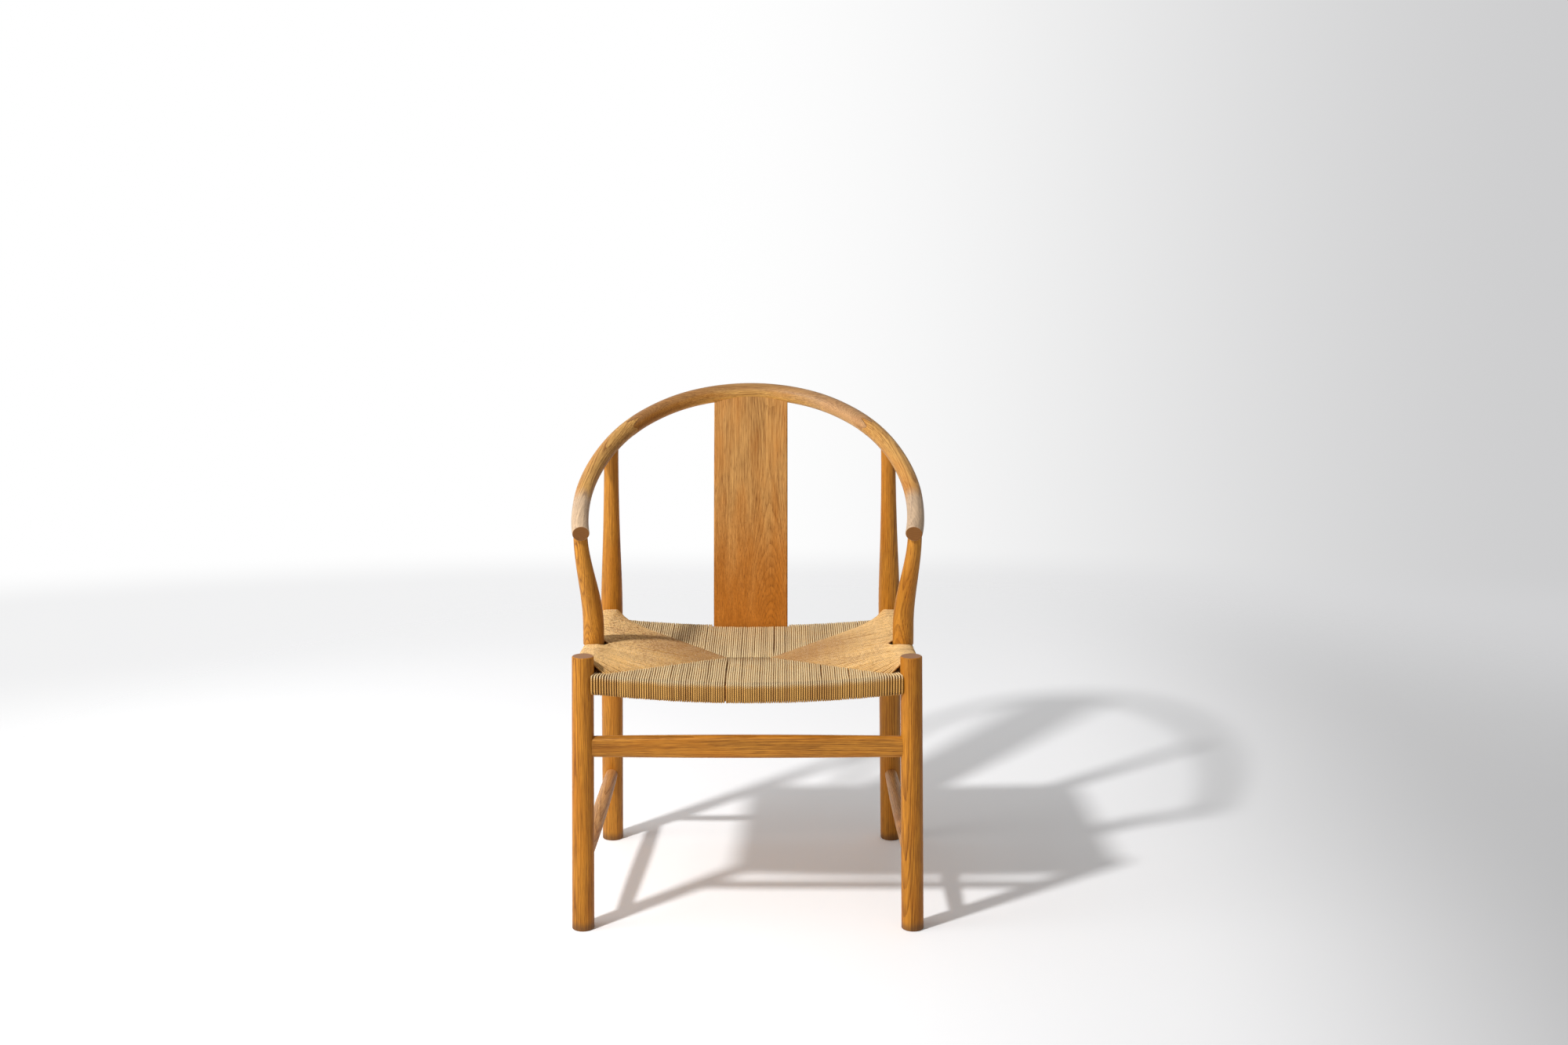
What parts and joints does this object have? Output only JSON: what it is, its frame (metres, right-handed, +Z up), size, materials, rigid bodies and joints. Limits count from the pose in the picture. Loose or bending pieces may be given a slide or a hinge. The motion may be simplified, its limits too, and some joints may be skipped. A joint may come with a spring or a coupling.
{
  "type": "armchair",
  "caption": "Oak armchair with a horseshoe bow for back and arms, a flat curved splat, turned legs and a dished seat woven from paper cord.",
  "frame": {"origin": "on the floor under the middle of the whole chair", "axes": "+Z up, +Y towards the back of the chair, +X to the right as seen from the front"},
  "size_m": [0.5546, 0.5166, 0.7996],
  "materials": {
    "oak": "oiled oak, satin, worn pale on the bow and the arms",
    "paper_cord": "matt twisted paper cord",
    "tack_steel": "dull"
  },
  "bodies": {
    "root": {"crest_rail": "oak", "arm_left": "oak", "arm_right": "oak", "arm_post_left": "oak", "arm_post_right": "oak", "back_splat": "oak", "front_leg_left": "oak", "front_leg_right": "oak", "rear_leg_left": "oak", "rear_leg_right": "oak", "front_seat_rail": "oak", "rear_seat_rail": "oak", "side_seat_rail_left": "oak", "side_seat_rail_right": "oak", "front_stretcher": "oak", "rear_stretcher": "oak", "side_stretcher_left": "oak", "side_stretcher_right": "oak", "seat_weave": "paper_cord", "cord_tacks": "tack_steel"}
  },
  "joints": []
}
